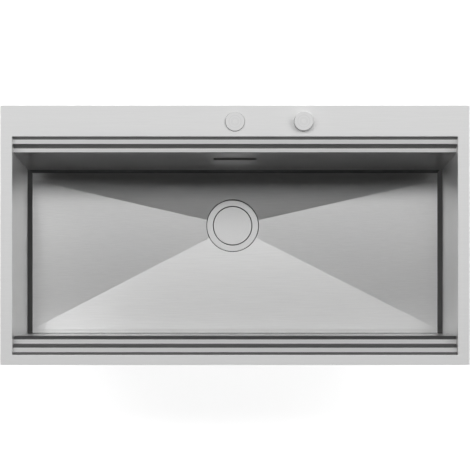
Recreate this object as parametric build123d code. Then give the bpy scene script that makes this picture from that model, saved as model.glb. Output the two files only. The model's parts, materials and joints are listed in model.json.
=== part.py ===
from build123d import *

import os
from math import atan, atan2, cos, degrees, pi, radians, sin, sqrt, tan

os.makedirs("parts", exist_ok=True)

# A stainless steel kitchen sink that hangs in a worktop by its deck.
# Millimetres. X runs along the sink to the right, Y to the back, Z up.
# The origin is the middle of the deck's seal face, which rests on the worktop at z = 0.

# Sheet, bends and common gaps
sheet = 1.2
bend_radius = 0.8
overrun = 4.0
loose_gap = 0.3
seat_gap = 0.05
thread_gap = 0.1
running_gap = 0.05

# Deck
deck_length = 940.0
deck_depth = 520.0
deck_edge_height = 2.4
deck_corner_radius = 1.5
front_rim = 19.5
rear_rim = 61.6
side_rim = 24.0
seal_thickness = 1.5
seal_width = 8.0
seal_inset = 0.5
cutout_margin = 10.0
worktop_thickness = 38.0

# Bowl section, from the rim down each side
bowl_depth = 200.0
first_riser_run = 6.0
first_riser_drop = 8.0
first_ledge = 9.2
second_riser_run = 7.4
second_riser_drop = 10.0
second_ledge = 8.9
front_lip_run = 6.9
rear_lip_run = 1.8
lip_drop = 8.0
rear_wall_lean = 15.0
rear_foot_radius = 9.5
front_foot_radius = 2.0
end_bevel = 9.5
tray_height = 14.0

# Pressed floor
floor_fall = 16.0
front_border = 7.5
rear_border = 12.0
drain_x = -5.2
drain_inset = 118.9
flange_sink = 14.5

# Strainer flange
flange_radius = 55.5
flange_plate = 1.5
recess_gap = 1.5
flange_gasket_thickness = 1.0
flange_gasket_width = 9.0
throat_radius = 42.4
throat_bend = 1.6
throat_straight = 8.0
cup_depth = 30.0
cup_floor_radius = 38.5
cup_seat_radius = 28.0
hub_radius = 11.0
hub_drop = 6.0
spider_arm = 7.0
floor_hole_gap = 1.0
floor_gasket_thickness = 3.0

# Drain body
collar_thickness = 4.0
cup_wall = 3.0
cup_side = 29.0
cone_height = 16.0
neck_bore = 20.5
neck_wall = 2.0
neck_height = 28.0
outlet_radius = 23.9
outlet_length = 22.0
boss_radius = 9.0
boss_height = 14.0
boss_gap = 5.0
rib_thickness = 3.0
bridge_turn_shares = (1 / 4, 7 / 12, 11 / 12)

# Clamp screw, pin and lever of the waste
clamp_screw_radius = 5.0
clamp_head_radius = 8.0
clamp_head_height = 3.0
pin_radius = 2.45
plug_lift = 8.0
lever_drop = 16.0
lever_inner_arm = 34.0
lever_outer_arm = 50.0
lever_rod_radius = 2.5
lever_overhang = 3.5
lever_ball_radius = 6.0
port_radius = 10.0
port_length = 12.0
gland_radius = 13.0
gland_length = 13.0
gland_wall = 2.5
gland_bore = 4.6
rocker_seal_bore = 5.4
rocker_seal_thickness = 3.0

# Basket and drain cover
cover_gap = 1.5
cover_thickness = 1.6
cover_boss_radius = 6.0
basket_rim_drop = 6.0
basket_rim_gap = 2.2
basket_rim_width = 1.2
basket_sheet = 0.9
basket_seal_thickness = 2.95
basket_seal_width = 7.8
basket_seal_overhang = 1.3
basket_foot_gap = 3.0
basket_post_radius = 4.0
basket_peg_radius = 2.6
basket_peg_height = 4.6
basket_post_drop = 9.6
basket_foot_radius = 5.0
foot_screw_radius = 2.0
foot_screw_length = 9.0
basket_slot_count = 24
basket_slot_width = 2.6
basket_slot_height = 11.0

# Round pieces on the rear strip
tap_x = 0.0
control_x = 137.3
strip_inset = 32.7
disc_radius = 19.0

# Tap hole cap
tap_hole_radius = 17.5
cap_thickness = 2.4
cap_chamfer = 0.5
cap_seal_thickness = 0.7
cap_seal_width = 1.2
snap_gap = 0.4
snap_wall = 1.5
snap_length = 11.0
snap_slot = 2.0
snap_slot_count = 6

# Control knob and its housing
knob_gap = 0.5
knob_height = 9.0
knob_roof = 3.0
knob_wall = 2.8
knob_chamfer = 0.6
knob_boss_radius = 7.0
knob_boss_drop = 2.8
neck_radius = 12.0
neck_rise = 3.2
ring_nut_radius = 15.0
ring_nut_thickness = 2.5
spindle_radius = 4.0
spindle_socket = 1.5
grub_radius = 1.5
grub_gap = 0.1
control_gasket_thickness = 1.5
housing_radius = 20.0
housing_wall = 2.5
housing_roof = 4.0
housing_height = 32.0
base_cover_thickness = 2.5
base_screw_radius = 1.4
base_screw_head = 2.6
base_screw_length = 7.0
base_screw_circle = 16.6
base_boss_radius = 3.2
drum_width = 7.0
drum_flange = 2.5
drum_level = 26.0

# Stiffener under the rear strip
stiffener_thickness = 2.0
stiffener_length = 220.0
stiffener_centre = 68.0
stiffener_front_gap = 4.0
stiffener_depth = 37.0

# Control cable
sheath_radius = 2.5
sheath_bore = 1.3
wire_radius = 0.8
ferrule_radius = 3.2
ferrule_length = 16.0
ferrule_port_radius = 5.5
ferrule_port_length = 7.0
ferrule_inset = 2.5
eye_size = 9.0
eye_bore = 3.5
eye_wire_dip = 2.0
stop_gap = 5.0
stop_thickness = 3.0
stop_width = 14.0
stop_rise = 4.0
stop_ring_wall = 4.0
cable_turn_x = 52.0
cable_wall_x = 60.0
cable_wall_top = 104.0
cable_wall_foot = 186.0
cable_wall_gap = 4.0
cable_loop_x = 54.0
cable_loop_drop = 370.0
cable_loop_back = 4.0
cable_bend_share = 0.48
clip_block = 9.0
clip_wall = 3.0
cable_clip_shares = (0.15, 0.85)

# Overflow
overflow_centre_drop = 82.0
cover_length = 88.0
cover_height = 30.0
cover_stand = 3.0
slot_length = 60.0
slot_height = 17.0
stud_radius = 2.0
stud_spacing = 76.0
overflow_gasket_thickness = 2.0
overflow_box_length = 92.0
overflow_box_height = 38.0
overflow_box_depth = 24.0
overflow_box_wall = 2.5
overflow_nut_radius = 4.0
overflow_nut_thickness = 3.2
stud_boss_radius = 5.0
pipe_radius = 12.5
pipe_wall = 1.8
pipe_bend_radius = 28.0
pipe_offset = 30.0
pipe_panel_gap = 6.0
spigot_radius = 15.0
spigot_length = 14.0
union_radius = 18.5
union_length = 14.0
overflow_port_drop = 26.0
port_reach = 16.0

# Fixing clips
clip_gap = 3.0
bracket_sheet = 1.5
bracket_width = 28.0
bracket_height = 26.0
bracket_flange = 3.0
claw_sheet = 2.0
claw_width = 18.0
claw_top = 7.0
claw_reach = 9.5
clip_screw_radius = 2.5
clip_screw_drop = 14.0
clip_head_radius = 4.6
clip_head_height = 3.0
clip_nut_thickness = 2.5
front_clip_shares = (-0.42, -0.14, 0.14, 0.42)
rear_clip_shares = (-0.42, -0.20, 0.24, 0.42)
end_clip_shares = (-0.3, 0.3)

# Damping pads and earthing tab
pad_thickness = 3.0
floor_pad_length = 260.0
floor_pad_depth = 200.0
floor_pad_centre_shares = (-0.56, 0.56)
wall_pad_length = 250.0
end_pad_length = 200.0
wall_pad_height = 100.0
wall_pad_drop = 100.0
wall_pad_shares = (-0.62, 0.62)
tab_width = 14.0
tab_leg = 12.0
tab_hole_radius = 2.6
tab_drop = 60.0

# Levels and places that follow from the sizes
deck_top = seal_thickness + sheet
deck_under = seal_thickness
half_length = deck_length / 2
half_depth = deck_depth / 2
half_bowl = half_length - side_rim
front_edge = -half_depth + front_rim
rear_edge = half_depth - rear_rim
floor_level = deck_top - bowl_depth
steps_run = first_riser_run + first_ledge + second_riser_run + second_ledge
front_wall = front_edge + steps_run + front_lip_run
rear_wall_top = rear_edge - steps_run - rear_lip_run
rear_wall_foot = rear_wall_top - rear_wall_lean
drain_y = rear_wall_foot - drain_inset
strip_y = half_depth - strip_inset
tab_y = (front_wall - end_pad_length / 2) / 2
lip_level = deck_top - first_riser_drop - second_riser_drop - lip_drop
lean_angle = degrees(atan2(rear_wall_lean, lip_level - floor_level))
split_level = floor_level + tray_height
flange_top = floor_level - flange_sink
recess_radius = flange_radius + recess_gap
recess_level = flange_top - flange_plate - flange_gasket_thickness
hole_radius = throat_radius + sheet + floor_hole_gap
crease_front = front_wall + front_foot_radius + front_border
crease_rear = rear_wall_foot - rear_foot_radius - rear_border
crease_half = half_bowl - end_bevel
cutout_x = half_length - cutout_margin
cutout_y = half_depth - cutout_margin
stiffener_under = deck_under - stiffener_thickness

collar_top = recess_level - sheet - floor_gasket_thickness
cup_bore = hole_radius + floor_hole_gap
cup_outer = cup_bore + cup_wall
collar_radius = recess_radius - floor_hole_gap
cone_top = collar_top - collar_thickness - cup_side
neck_top = cone_top - cone_height
outlet_top = neck_top - neck_height
outlet_end = outlet_top - outlet_length
neck_outer = neck_bore + neck_wall
hub_level = flange_top - cup_depth - hub_drop
boss_top = hub_level - sheet - boss_gap
boss_end = boss_top - boss_height

lever_level = neck_top - lever_drop
lever_y = drain_y + lever_inner_arm
lever_half_angle = degrees(atan(plug_lift / 2 / lever_inner_arm))
eye_y = lever_y + lever_outer_arm
cable_travel = plug_lift * lever_outer_arm / lever_inner_arm
eye_level = lever_level + cable_travel / 2
stop_level = eye_level - cable_travel - eye_size / 2 - stop_gap
drum_radius = cable_travel / (pi / 2)

basket_base = flange_top - cup_depth + basket_seal_thickness + seat_gap
basket_rim_radius = throat_radius - basket_rim_gap
basket_top_radius = basket_rim_radius - basket_rim_width
basket_base_radius = cup_floor_radius - basket_foot_gap
pin_top = hub_level + clamp_head_height - seat_gap
pin_tip = lever_level - plug_lift / 2 + (lever_rod_radius + pin_radius) / cos(radians(lever_half_angle))

control_level = stiffener_under - control_gasket_thickness
cable_level = control_level - drum_level
cable_y = strip_y + drum_radius
sheath_start_x = control_x - housing_radius - ferrule_port_length + ferrule_inset - ferrule_length / 2
sheath_end_level = stop_level - ferrule_length

overflow_level = deck_top - overflow_centre_drop
overflow_y = rear_wall_top - (lip_level - overflow_level) * tan(radians(lean_angle))
pipe_x = drain_x - pipe_offset
panel_back = rear_wall_top + sheet / cos(radians(lean_angle))
pipe_y = overflow_y + sheet + pipe_panel_gap + pipe_radius
pipe_level = flange_top - overflow_port_drop


# Shared helpers

def block(low, high):
    """A box between two corners."""
    size = [b - a for a, b in zip(low, high)]
    middle = [(a + b) / 2 for a, b in zip(low, high)]
    return Pos(*middle) * Box(*size)


def rounded_outline(points, radii):
    """A closed flat outline whose corners are rounded by their own radii."""
    corners = []
    count = len(points)
    for i, point in enumerate(points):
        corner = Vector(*point)
        back = (Vector(*points[i - 1]) - corner).normalized()
        ahead = (Vector(*points[(i + 1) % count]) - corner).normalized()
        if radii[i] == 0:
            corners.append((corner, None, corner))
            continue
        half = radians(back.get_angle(ahead)) / 2
        reach = radii[i] / tan(half)
        inward = (back + ahead).normalized()
        crown = corner + inward * (radii[i] / sin(half) - radii[i])
        corners.append((corner + back * reach, crown, corner + ahead * reach))
    edges = []
    for i, (start, crown, end) in enumerate(corners):
        if crown is not None:
            edges.append(ThreePointArc(start, crown, end).edge())
        following = corners[(i + 1) % count][0]
        edges.append(Line(end, following).edge())
    return Face(Wire(edges))


def turned(points, radii=None, at=(0, 0, 0)):
    """A solid turned about a vertical axis from points of radius and height."""
    radii = radii or [0] * len(points)
    outline = rounded_outline([(r, 0, z) for r, z in points], radii)
    return Pos(*at) * revolve(outline, Axis.Z)


def rod(radius, low, high, x=0, y=0):
    """A vertical cylinder between two levels."""
    return Pos(x, y, (low + high) / 2) * Cylinder(radius, high - low)


def ring(outer, inner, low, high, x=0, y=0):
    """A vertical ring between two levels."""
    through = rod(inner, low - overrun, high + overrun, x, y)
    return rod(outer, low, high, x, y) - through


def rod_along(radius, start, end):
    """A cylinder between two points."""
    line = Line(start, end)
    return sweep(Plane(origin=line @ 0, z_dir=line % 0) * Circle(radius), path=line)


def hexagon(radius, low, high, x=0, y=0):
    """A vertical hexagonal prism between two levels."""
    return extrude(Plane(origin=(x, y, low)) * RegularPolygon(radius, 6), high - low)


def save(shape, name):
    """Writes one node, whatever number of solids it holds."""
    solids = shape.solids() if hasattr(shape, "solids") else [s for part in shape for s in part.solids()]
    node = solids[0] if len(solids) == 1 else Compound(children=list(solids))
    node.label = name
    export_step(node, f"parts/{name}.step")


# Bowl section

def half_section(edge, inward, wall_lip, foot):
    """The points from the rim to the foot of one long wall: place, level and bend radius."""
    place = edge
    level = deck_top
    points = [(place, level, bend_radius)]
    moves = (
        (first_riser_run, first_riser_drop),
        (first_ledge, 0),
        (second_riser_run, second_riser_drop),
        (second_ledge, 0),
        (wall_lip, lip_drop),
    )
    for run, drop in moves:
        place += inward * run
        level -= drop
        points.append((place, level, bend_radius))
    points.append(foot)
    return points


def section_path():
    """The inner face of the bowl from the front of the deck to the back, cut along Y and Z."""
    front_foot = (front_wall, floor_level, front_foot_radius)
    rear_foot = (rear_wall_foot, floor_level, rear_foot_radius)
    front = half_section(front_edge, 1, front_lip_run, front_foot)
    rear = half_section(rear_edge, -1, rear_lip_run, rear_foot)
    shoulder = half_depth + overrun
    return [(-shoulder, deck_top, 0)] + front + rear[::-1] + [(shoulder, deck_top, 0)]


def end_path():
    """The inner face of the bowl from end to end, cut along X and Z."""
    shoulder = half_length + overrun
    half = [
        (shoulder, deck_top, 0),
        (half_bowl, deck_top, bend_radius),
        (half_bowl, floor_level + end_bevel, bend_radius),
        (half_bowl - end_bevel, floor_level, bend_radius),
    ]
    return [(-place, level, radius) for place, level, radius in half] + half[::-1]


def offset_path(path, distance):
    """The same path moved to its underside with mitred corners."""
    directions = []
    for (u0, v0, _), (u1, v1, _) in zip(path, path[1:]):
        length = sqrt((u1 - u0) ** 2 + (v1 - v0) ** 2)
        directions.append(((u1 - u0) / length, (v1 - v0) / length))
    moved = []
    for i, (u, v, radius) in enumerate(path):
        before = directions[max(i - 1, 0)]
        after = directions[min(i, len(directions) - 1)]
        normal_u = before[1] + after[1]
        normal_v = -before[0] - after[0]
        scale = 1 + before[0] * after[0] + before[1] * after[1]
        moved.append((u + normal_u / scale * distance, v + normal_v / scale * distance, radius))
    return moved


def path_radii(path, outer):
    """The radius of each corner on one face of the sheet, by which way the sheet turns there."""
    radii = [0]
    for (u0, v0, _), (u1, v1, radius), (u2, v2, _) in zip(path, path[1:], path[2:]):
        turns_in = (u1 - u0) * (v2 - v1) - (v1 - v0) * (u2 - u1) > 0
        far_face = outer if turns_in else not outer
        radii.append(radius + (sheet if far_face else 0))
    return radii + [0, 0, 0]


def space_below(path, outer, plane_of):
    """The face over a path, closed above the deck."""
    line = [(u, v) for u, v, _ in (offset_path(path, sheet) if outer else path)]
    top = deck_top + overrun
    closed = line + [(line[-1][0], top), (line[0][0], top)]
    return rounded_outline([plane_of(u, v) for u, v in closed], path_radii(path, outer))


def bowl_space(outer):
    """The room inside the bowl, or with the sheet's thickness added all round."""
    along = space_below(section_path(), outer, lambda u, v: (0, u, v))
    across = space_below(end_path(), outer, lambda u, v: (u, 0, v))
    reach = half_length + overrun * 2
    long_way = extrude(along, reach, dir=(1, 0, 0), both=True)
    cross_way = extrude(across, half_depth + overrun * 2, dir=(0, 1, 0), both=True)
    return long_way & cross_way


def bowl_shell():
    """The folded sheet of the bowl under the deck, still in one piece."""
    reach_x = half_length + overrun * 3
    reach_y = half_depth + overrun * 3
    below_deck = block((-reach_x, -reach_y, floor_level - overrun), (reach_x, reach_y, deck_under))
    return (bowl_space(True) & below_deck) - bowl_space(False)


def wall_plane(level):
    """A plane on the rear wall's inner face, its Z axis into the bowl and its Y axis up the wall."""
    place = rear_wall_top - (lip_level - level) * tan(radians(lean_angle))
    lean = radians(lean_angle)
    return Plane(origin=(0, place, level), x_dir=(1, 0, 0), z_dir=(0, -cos(lean), sin(lean)))


def pyramid(drop):
    """The four falls of the floor as a solid with its point down, lowered by a drop."""
    top = floor_level - drop
    corners = [
        (-crease_half, crease_front, top),
        (crease_half, crease_front, top),
        (crease_half, crease_rear, top),
        (-crease_half, crease_rear, top),
    ]
    point = (drain_x, drain_y, top - floor_fall)
    faces = [Face(Wire.make_polygon(corners, close=True))]
    for i, corner in enumerate(corners):
        faces.append(Face(Wire.make_polygon([corner, corners[(i + 1) % len(corners)], point], close=True)))
    return Solid(Shell(faces))


# Deck and bowl

def deck_plate():
    """The flat top with its folded edge, the bowl's opening and two round holes."""
    plate = block((-half_length, -half_depth, deck_under), (half_length, half_depth, deck_top))
    edge_foot = deck_top - deck_edge_height
    edge = block((-half_length, -half_depth, edge_foot), (half_length, half_depth, deck_top))
    corners = edge.edges().filter_by(Axis.Z)
    edge = fillet(corners, deck_corner_radius)
    edge = fillet(edge.faces().sort_by(Axis.Z)[-1].edges(), bend_radius)
    inside_x = half_length - sheet
    inside_y = half_depth - sheet
    hollow = block((-inside_x, -inside_y, edge_foot - overrun), (inside_x, inside_y, deck_under))
    deck = edge & (plate + (edge - hollow))
    deck -= bowl_space(False)
    deck -= rod(tap_hole_radius, deck_under - overrun, deck_top + overrun, tap_x, strip_y)
    deck -= rod(neck_radius + loose_gap, deck_under - overrun, deck_top + overrun, control_x, strip_y)
    return deck


def end_panel(shell, side):
    """One flat end of the bowl."""
    near = half_bowl
    far = half_bowl + sheet + overrun
    low_x, high_x = sorted((side * near, side * far))
    reach_y = half_depth + overrun
    return shell & block((low_x, -reach_y, split_level), (high_x, reach_y, deck_under + overrun))


def long_panel(shell, side):
    """The front or rear wall of the bowl with its two ledges."""
    middle = (front_wall + rear_wall_foot) / 2
    far = side * (half_depth + overrun)
    low_y, high_y = sorted((middle, far))
    return shell & block((-half_bowl, low_y, split_level), (half_bowl, high_y, deck_under + overrun))


def overflow_holes():
    """What the overflow takes out of the rear panel."""
    plane = wall_plane(overflow_level)
    depth = sheet * 2 + overrun * 2
    holes = plane * Box(slot_length, slot_height, depth)
    for side in (-1, 1):
        place = plane * Pos(side * stud_spacing / 2, 0, 0)
        holes += place * Cylinder(stud_radius + loose_gap, depth)
    return holes


def bowl_floor(shell):
    """The pressed bottom with its rounded foot, four falls, round recess and drain hole."""
    reach_x = half_length
    reach_y = half_depth
    tray = shell & block((-reach_x, -reach_y, floor_level - overrun), (reach_x, reach_y, split_level))
    recess_foot = recess_level - sheet
    cup_top = floor_level - sheet
    cup = rod(recess_radius + sheet, recess_foot, cup_top, drain_x, drain_y)
    recess = rod(recess_radius, recess_level, floor_level + overrun, drain_x, drain_y)
    hole = rod(hole_radius, recess_foot - overrun, floor_level, drain_x, drain_y)
    return tray + pyramid(sheet) + cup - pyramid(0) - recess - hole


def rim_seal():
    """The foam strip under the deck's edge, all the way round."""
    outer_x = half_length - sheet - seal_inset
    outer_y = half_depth - sheet - seal_inset
    strip = block((-outer_x, -outer_y, 0), (outer_x, outer_y, deck_under))
    inner_x = outer_x - seal_width
    inner_y = outer_y - seal_width
    return strip - block((-inner_x, -inner_y, -overrun), (inner_x, inner_y, deck_under + overrun))


def deck_stiffener():
    """The plate welded under the rear strip around the two holes."""
    front = rear_edge + stiffener_front_gap
    left = stiffener_centre - stiffener_length / 2
    right = stiffener_centre + stiffener_length / 2
    plate = block((left, front, stiffener_under), (right, front + stiffener_depth, deck_under))
    plate -= rod(tap_hole_radius, stiffener_under - overrun, deck_top, tap_x, strip_y)
    return plate - rod(neck_radius + loose_gap, stiffener_under - overrun, deck_top, control_x, strip_y)


# Fixing clips

def clip_places():
    """Where each clip stands at the cut-out's edge, and which way it faces."""
    places = []
    for share in front_clip_shares:
        places.append(Location((share * deck_length, -cutout_y, 0), (0, 0, -90)))
    for share in rear_clip_shares:
        places.append(Location((share * deck_length, cutout_y, 0), (0, 0, 90)))
    for share in end_clip_shares:
        places.append(Location((-cutout_x, share * deck_depth, 0), (0, 0, 180)))
        places.append(Location((cutout_x, share * deck_depth, 0), (0, 0, 0)))
    return places


def clip_hole(low_x, high_x):
    """The hole for a clip's screw, which runs towards the cut-out's edge."""
    start = (low_x - overrun, 0, -clip_screw_drop)
    return rod_along(clip_screw_radius + loose_gap, start, (high_x + overrun, 0, -clip_screw_drop))


def clip_bracket():
    """A folded tab welded under the deck."""
    outer = -clip_gap
    inner = outer - bracket_sheet
    half = bracket_width / 2
    leg = block((inner, -half, deck_under - bracket_height), (outer, half, deck_under))
    flange = block((inner - bracket_flange, -half, deck_under - bracket_sheet), (inner, half, deck_under))
    return leg + flange - clip_hole(inner, outer)


def clip_claw():
    """A hook that reaches under the worktop."""
    outer = -clip_gap - bracket_sheet
    inner = outer - claw_sheet
    half = claw_width / 2
    foot = -worktop_thickness - claw_top
    strip = block((inner, -half, foot - claw_sheet), (outer, half, -claw_top))
    arm = block((inner, -half, foot - claw_sheet), (claw_reach, half, foot))
    tooth = block((claw_reach - claw_sheet, -half, foot), (claw_reach, half, -worktop_thickness))
    return strip + arm + tooth - clip_hole(inner, outer)


def clip_screw():
    """The screw that holds a claw to its bracket."""
    head = -clip_gap - bracket_sheet - claw_sheet
    end = -clip_gap + clip_nut_thickness
    level = -clip_screw_drop
    shank = rod_along(clip_screw_radius, (head, 0, level), (end, 0, level))
    hexagonal = Plane(origin=(head, 0, level), z_dir=(-1, 0, 0)) * RegularPolygon(clip_head_radius, 6)
    return shank + extrude(hexagonal, clip_head_height)


def clip_nut():
    """The nut on the outer face of a bracket."""
    plane = Plane(origin=(-clip_gap, 0, -clip_screw_drop), z_dir=(1, 0, 0))
    nut = extrude(plane * RegularPolygon(clip_head_radius, 6), clip_nut_thickness)
    return nut - clip_bore(clip_screw_radius + thread_gap)


def clip_bore(radius):
    """A bore along the clip's screw."""
    reach = clip_gap + clip_nut_thickness + overrun
    return rod_along(radius, (-reach, 0, -clip_screw_drop), (reach, 0, -clip_screw_drop))


def at_each_clip(piece):
    """One copy of a clip's piece at each place."""
    return Compound(children=[place * piece for place in clip_places()])


# Damping pads and earthing tab

def floor_pads():
    """Pads stuck to the underside of the falls."""
    pads = []
    depth_middle = (crease_front + crease_rear) / 2
    for share in floor_pad_centre_shares:
        middle = share * half_bowl
        low = (middle - floor_pad_length / 2, depth_middle - floor_pad_depth / 2, floor_level - bowl_depth)
        high = (middle + floor_pad_length / 2, depth_middle + floor_pad_depth / 2, floor_level)
        pads.append(((pyramid(sheet + pad_thickness) - pyramid(sheet)) & block(low, high)).solids()[0])
    return Compound(children=pads)


def wall_pads():
    """Pads stuck to the outer faces of the four walls."""
    pads = []
    low_z = deck_top - wall_pad_drop - wall_pad_height / 2
    high_z = deck_top - wall_pad_drop + wall_pad_height / 2
    front_face = front_wall - sheet
    for share in wall_pad_shares:
        middle = share * half_bowl
        left = middle - wall_pad_length / 2
        right = middle + wall_pad_length / 2
        pads.append(block((left, front_face - pad_thickness, low_z), (right, front_face, high_z)))
        pad_middle = -sheet - pad_thickness / 2
        place = wall_plane((low_z + high_z) / 2) * Pos(middle, 0, pad_middle)
        pads.append(place * Box(wall_pad_length, wall_pad_height, pad_thickness))
    end_face = half_bowl + sheet
    for side in (-1, 1):
        low_x, high_x = sorted((side * end_face, side * (end_face + pad_thickness)))
        pads.append(block((low_x, -end_pad_length / 2, low_z), (high_x, end_pad_length / 2, high_z)))
    return Compound(children=pads)


def earthing_tab():
    """A folded tab with a hole, welded to the right end panel under the clips."""
    face = half_bowl + sheet
    top = deck_top - tab_drop
    foot = top - tab_leg
    half = tab_width / 2
    leg = block((face, tab_y - half, foot), (face + bracket_sheet, tab_y + half, top))
    shelf = block((face, tab_y - half, foot), (face + tab_leg, tab_y + half, foot + bracket_sheet))
    hole = rod(tab_hole_radius, foot - overrun, top, face + tab_leg / 2 + bracket_sheet / 2, tab_y)
    return leg + shelf - hole


# Tap hole cap

def cap_seal():
    """The ring under the cap."""
    low = deck_top + seat_gap
    outer = disc_radius - cap_chamfer
    return ring(outer, outer - cap_seal_width, low, low + cap_seal_thickness, tap_x, strip_y)


def tap_hole_cap():
    """The plain disc over the tap hole."""
    low = deck_top + seat_gap + cap_seal_thickness
    high = low + cap_thickness
    disc = rod(disc_radius, low, high, tap_x, strip_y)
    return chamfer(disc.edges().group_by(Axis.Z)[-1], cap_chamfer)


def cap_snap_ring():
    """The sprung skirt inside the tap hole."""
    high = deck_top + seat_gap + cap_seal_thickness
    low = high - snap_length
    outer = tap_hole_radius - snap_gap
    skirt = ring(outer, outer - snap_wall, low, high, tap_x, strip_y)
    roof = ring(outer, outer - snap_wall * 3, high - snap_wall, high, tap_x, strip_y)
    skirt += roof
    half = snap_slot / 2
    for turn in range(snap_slot_count):
        slot = block((0, -half, low - overrun), (outer + overrun, half, high - snap_wall * 2))
        skirt -= Location((tap_x, strip_y, 0), (0, 0, turn * 360 / snap_slot_count)) * slot
    return skirt


# Control of the waste

def control_knob():
    """The turned knob, hollow underneath, with a boss for the spindle."""
    low = deck_top + knob_gap
    high = low + knob_height
    roof = high - knob_roof
    knob = rod(disc_radius, low, high, control_x, strip_y)
    knob = chamfer(knob.edges().group_by(Axis.Z)[-1], knob_chamfer)
    knob -= rod(disc_radius - knob_wall, low - overrun, roof, control_x, strip_y)
    knob += rod(knob_boss_radius, roof - knob_boss_drop, roof, control_x, strip_y)
    knob -= rod(spindle_radius + running_gap, low - overrun, roof + spindle_socket, control_x, strip_y)
    level = roof - knob_boss_drop / 2
    bore = rod_along(
        grub_radius + grub_gap,
        (control_x, strip_y, level),
        (control_x, strip_y + disc_radius + overrun, level),
    )
    return knob - bore


def knob_grub_screw():
    """The small screw that pins the knob to its spindle."""
    roof = deck_top + knob_gap + knob_height - knob_roof
    level = roof - knob_boss_drop / 2
    start = (control_x, strip_y + spindle_radius + grub_gap, level)
    return rod_along(grub_radius, start, (control_x, strip_y + knob_boss_radius, level))


def knob_spindle():
    """The shaft from the knob down to the foot of the housing."""
    roof = deck_top + knob_gap + knob_height - knob_roof
    low = control_level - housing_height + seat_gap
    return rod(spindle_radius, low, roof + spindle_socket - seat_gap, control_x, strip_y)


def cable_drum():
    """The grooved wheel that pulls the wire."""
    groove = drum_radius - wire_radius - loose_gap
    rim = drum_radius + drum_flange
    half = drum_width / 2
    side = (drum_width - wire_radius * 4) / 2
    points = [
        (spindle_radius + running_gap, cable_level - half),
        (rim, cable_level - half),
        (rim, cable_level - half + side),
        (groove, cable_level - half + side),
        (groove, cable_level + half - side),
        (rim, cable_level + half - side),
        (rim, cable_level + half),
        (spindle_radius + running_gap, cable_level + half),
    ]
    return turned(points, at=(control_x, strip_y, 0))


def control_body():
    """The housing under the deck with its threaded neck and the cable's port."""
    foot = control_level - housing_height
    roof = control_level - housing_roof
    body = rod(housing_radius, foot, control_level, control_x, strip_y)
    neck_end = deck_top + neck_rise
    body += rod(neck_radius, control_level, neck_end, control_x, strip_y)
    port_end = control_x - housing_radius - ferrule_port_length
    inner = (control_x, cable_y, cable_level)
    body += rod_along(ferrule_port_radius, inner, (port_end, cable_y, cable_level))
    body -= rod(housing_radius - housing_wall, foot - overrun, roof, control_x, strip_y)
    inside = rod(housing_radius, foot, roof, control_x, strip_y)
    for x, y in base_screw_places():
        body += rod(base_boss_radius, foot, roof, x, y) & inside
    for x, y in base_screw_places():
        body -= rod(base_screw_radius + thread_gap, foot - overrun, foot + base_screw_length, x, y)
    body -= rod(spindle_radius + running_gap, roof - overrun, neck_end + overrun, control_x, strip_y)
    return body - rod_along(ferrule_radius + thread_gap, inner, (port_end - overrun, cable_y, cable_level))


def base_screw_places():
    """Where the two screws of the base cover stand."""
    return [(control_x, strip_y + side * base_screw_circle) for side in (-1, 1)]


def control_base_cover():
    """The lid under the housing, with the spindle's foot bearing."""
    high = control_level - housing_height
    low = high - base_cover_thickness
    cover = rod(housing_radius, low, high, control_x, strip_y)
    for x, y in base_screw_places():
        cover -= rod(base_screw_radius + loose_gap, low - overrun, high + overrun, x, y)
    return cover


def control_cover_screws():
    """The two screws of the base cover."""
    screws = []
    high = control_level - housing_height
    low = high - base_cover_thickness
    for x, y in base_screw_places():
        shank = rod(base_screw_radius, low, high + base_screw_length - overrun / 2, x, y)
        screws.append(shank + rod(base_screw_head, low - base_screw_head / 2, low, x, y))
    return Compound(children=screws)


def control_gasket():
    """The ring between the housing and the stiffener."""
    inner = neck_radius + loose_gap
    return ring(housing_radius - sheet, inner, control_level, stiffener_under, control_x, strip_y)


def control_ring_nut():
    """The slim round nut that clamps the housing from above, under the knob."""
    bore = neck_radius + thread_gap
    nut = ring(ring_nut_radius, bore, deck_top, deck_top + ring_nut_thickness, control_x, strip_y)
    for side in (-1, 1):
        notch = Pos(control_x + side * ring_nut_radius, strip_y, deck_top + ring_nut_thickness / 2)
        nut -= notch * Box(snap_slot, snap_slot, ring_nut_thickness + overrun)
    return nut


# Control cable

def behind_wall(x, drop):
    """A point of the cable's middle behind the rear panel, by its drop under the deck's top."""
    reach = sheet + cable_wall_gap + sheath_radius
    return (wall_plane(deck_top - drop) * Pos(x, 0, -reach)).position


def cable_route():
    """The points between which the cable runs, from the housing to the stop bracket."""
    return [
        Vector(sheath_start_x, cable_y, cable_level),
        Vector(cable_turn_x, cable_y, cable_level),
        behind_wall(cable_wall_x, cable_wall_top),
        behind_wall(cable_wall_x, cable_wall_foot),
        Vector(cable_loop_x, rear_wall_foot + cable_loop_back, deck_top - cable_loop_drop),
        Vector(drain_x, eye_y, deck_top - cable_loop_drop),
        Vector(drain_x, eye_y, sheath_end_level),
    ]


def cable_path():
    """Straight runs joined by arcs as large as the runs allow."""
    points = cable_route()
    radii = []
    for before, corner, after in zip(points, points[1:], points[2:]):
        turn = radians((corner - before).get_angle(after - corner))
        run = min((corner - before).length, (after - corner).length)
        radii.append(cable_bend_share * run / tan(turn / 2))
    print("cable radii", [round(radius, 1) for radius in radii])
    return FilletPolyline(*points, radius=radii)


def swept_round(path, radius):
    """A round section carried along a path."""
    start = path.wire()
    return sweep(Plane(origin=start @ 0, z_dir=start % 0) * Circle(radius), path=start)


def cable_sheath(path):
    """The hollow sheath."""
    return swept_round(path, sheath_radius) - swept_round(path, sheath_bore)


def cable_wire(path):
    """The wire inside the sheath and on to the drum."""
    start = (sheath_start_x, cable_y, cable_level)
    return swept_round(path, wire_radius) + rod_along(wire_radius, start, (control_x, cable_y, cable_level))


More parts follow.
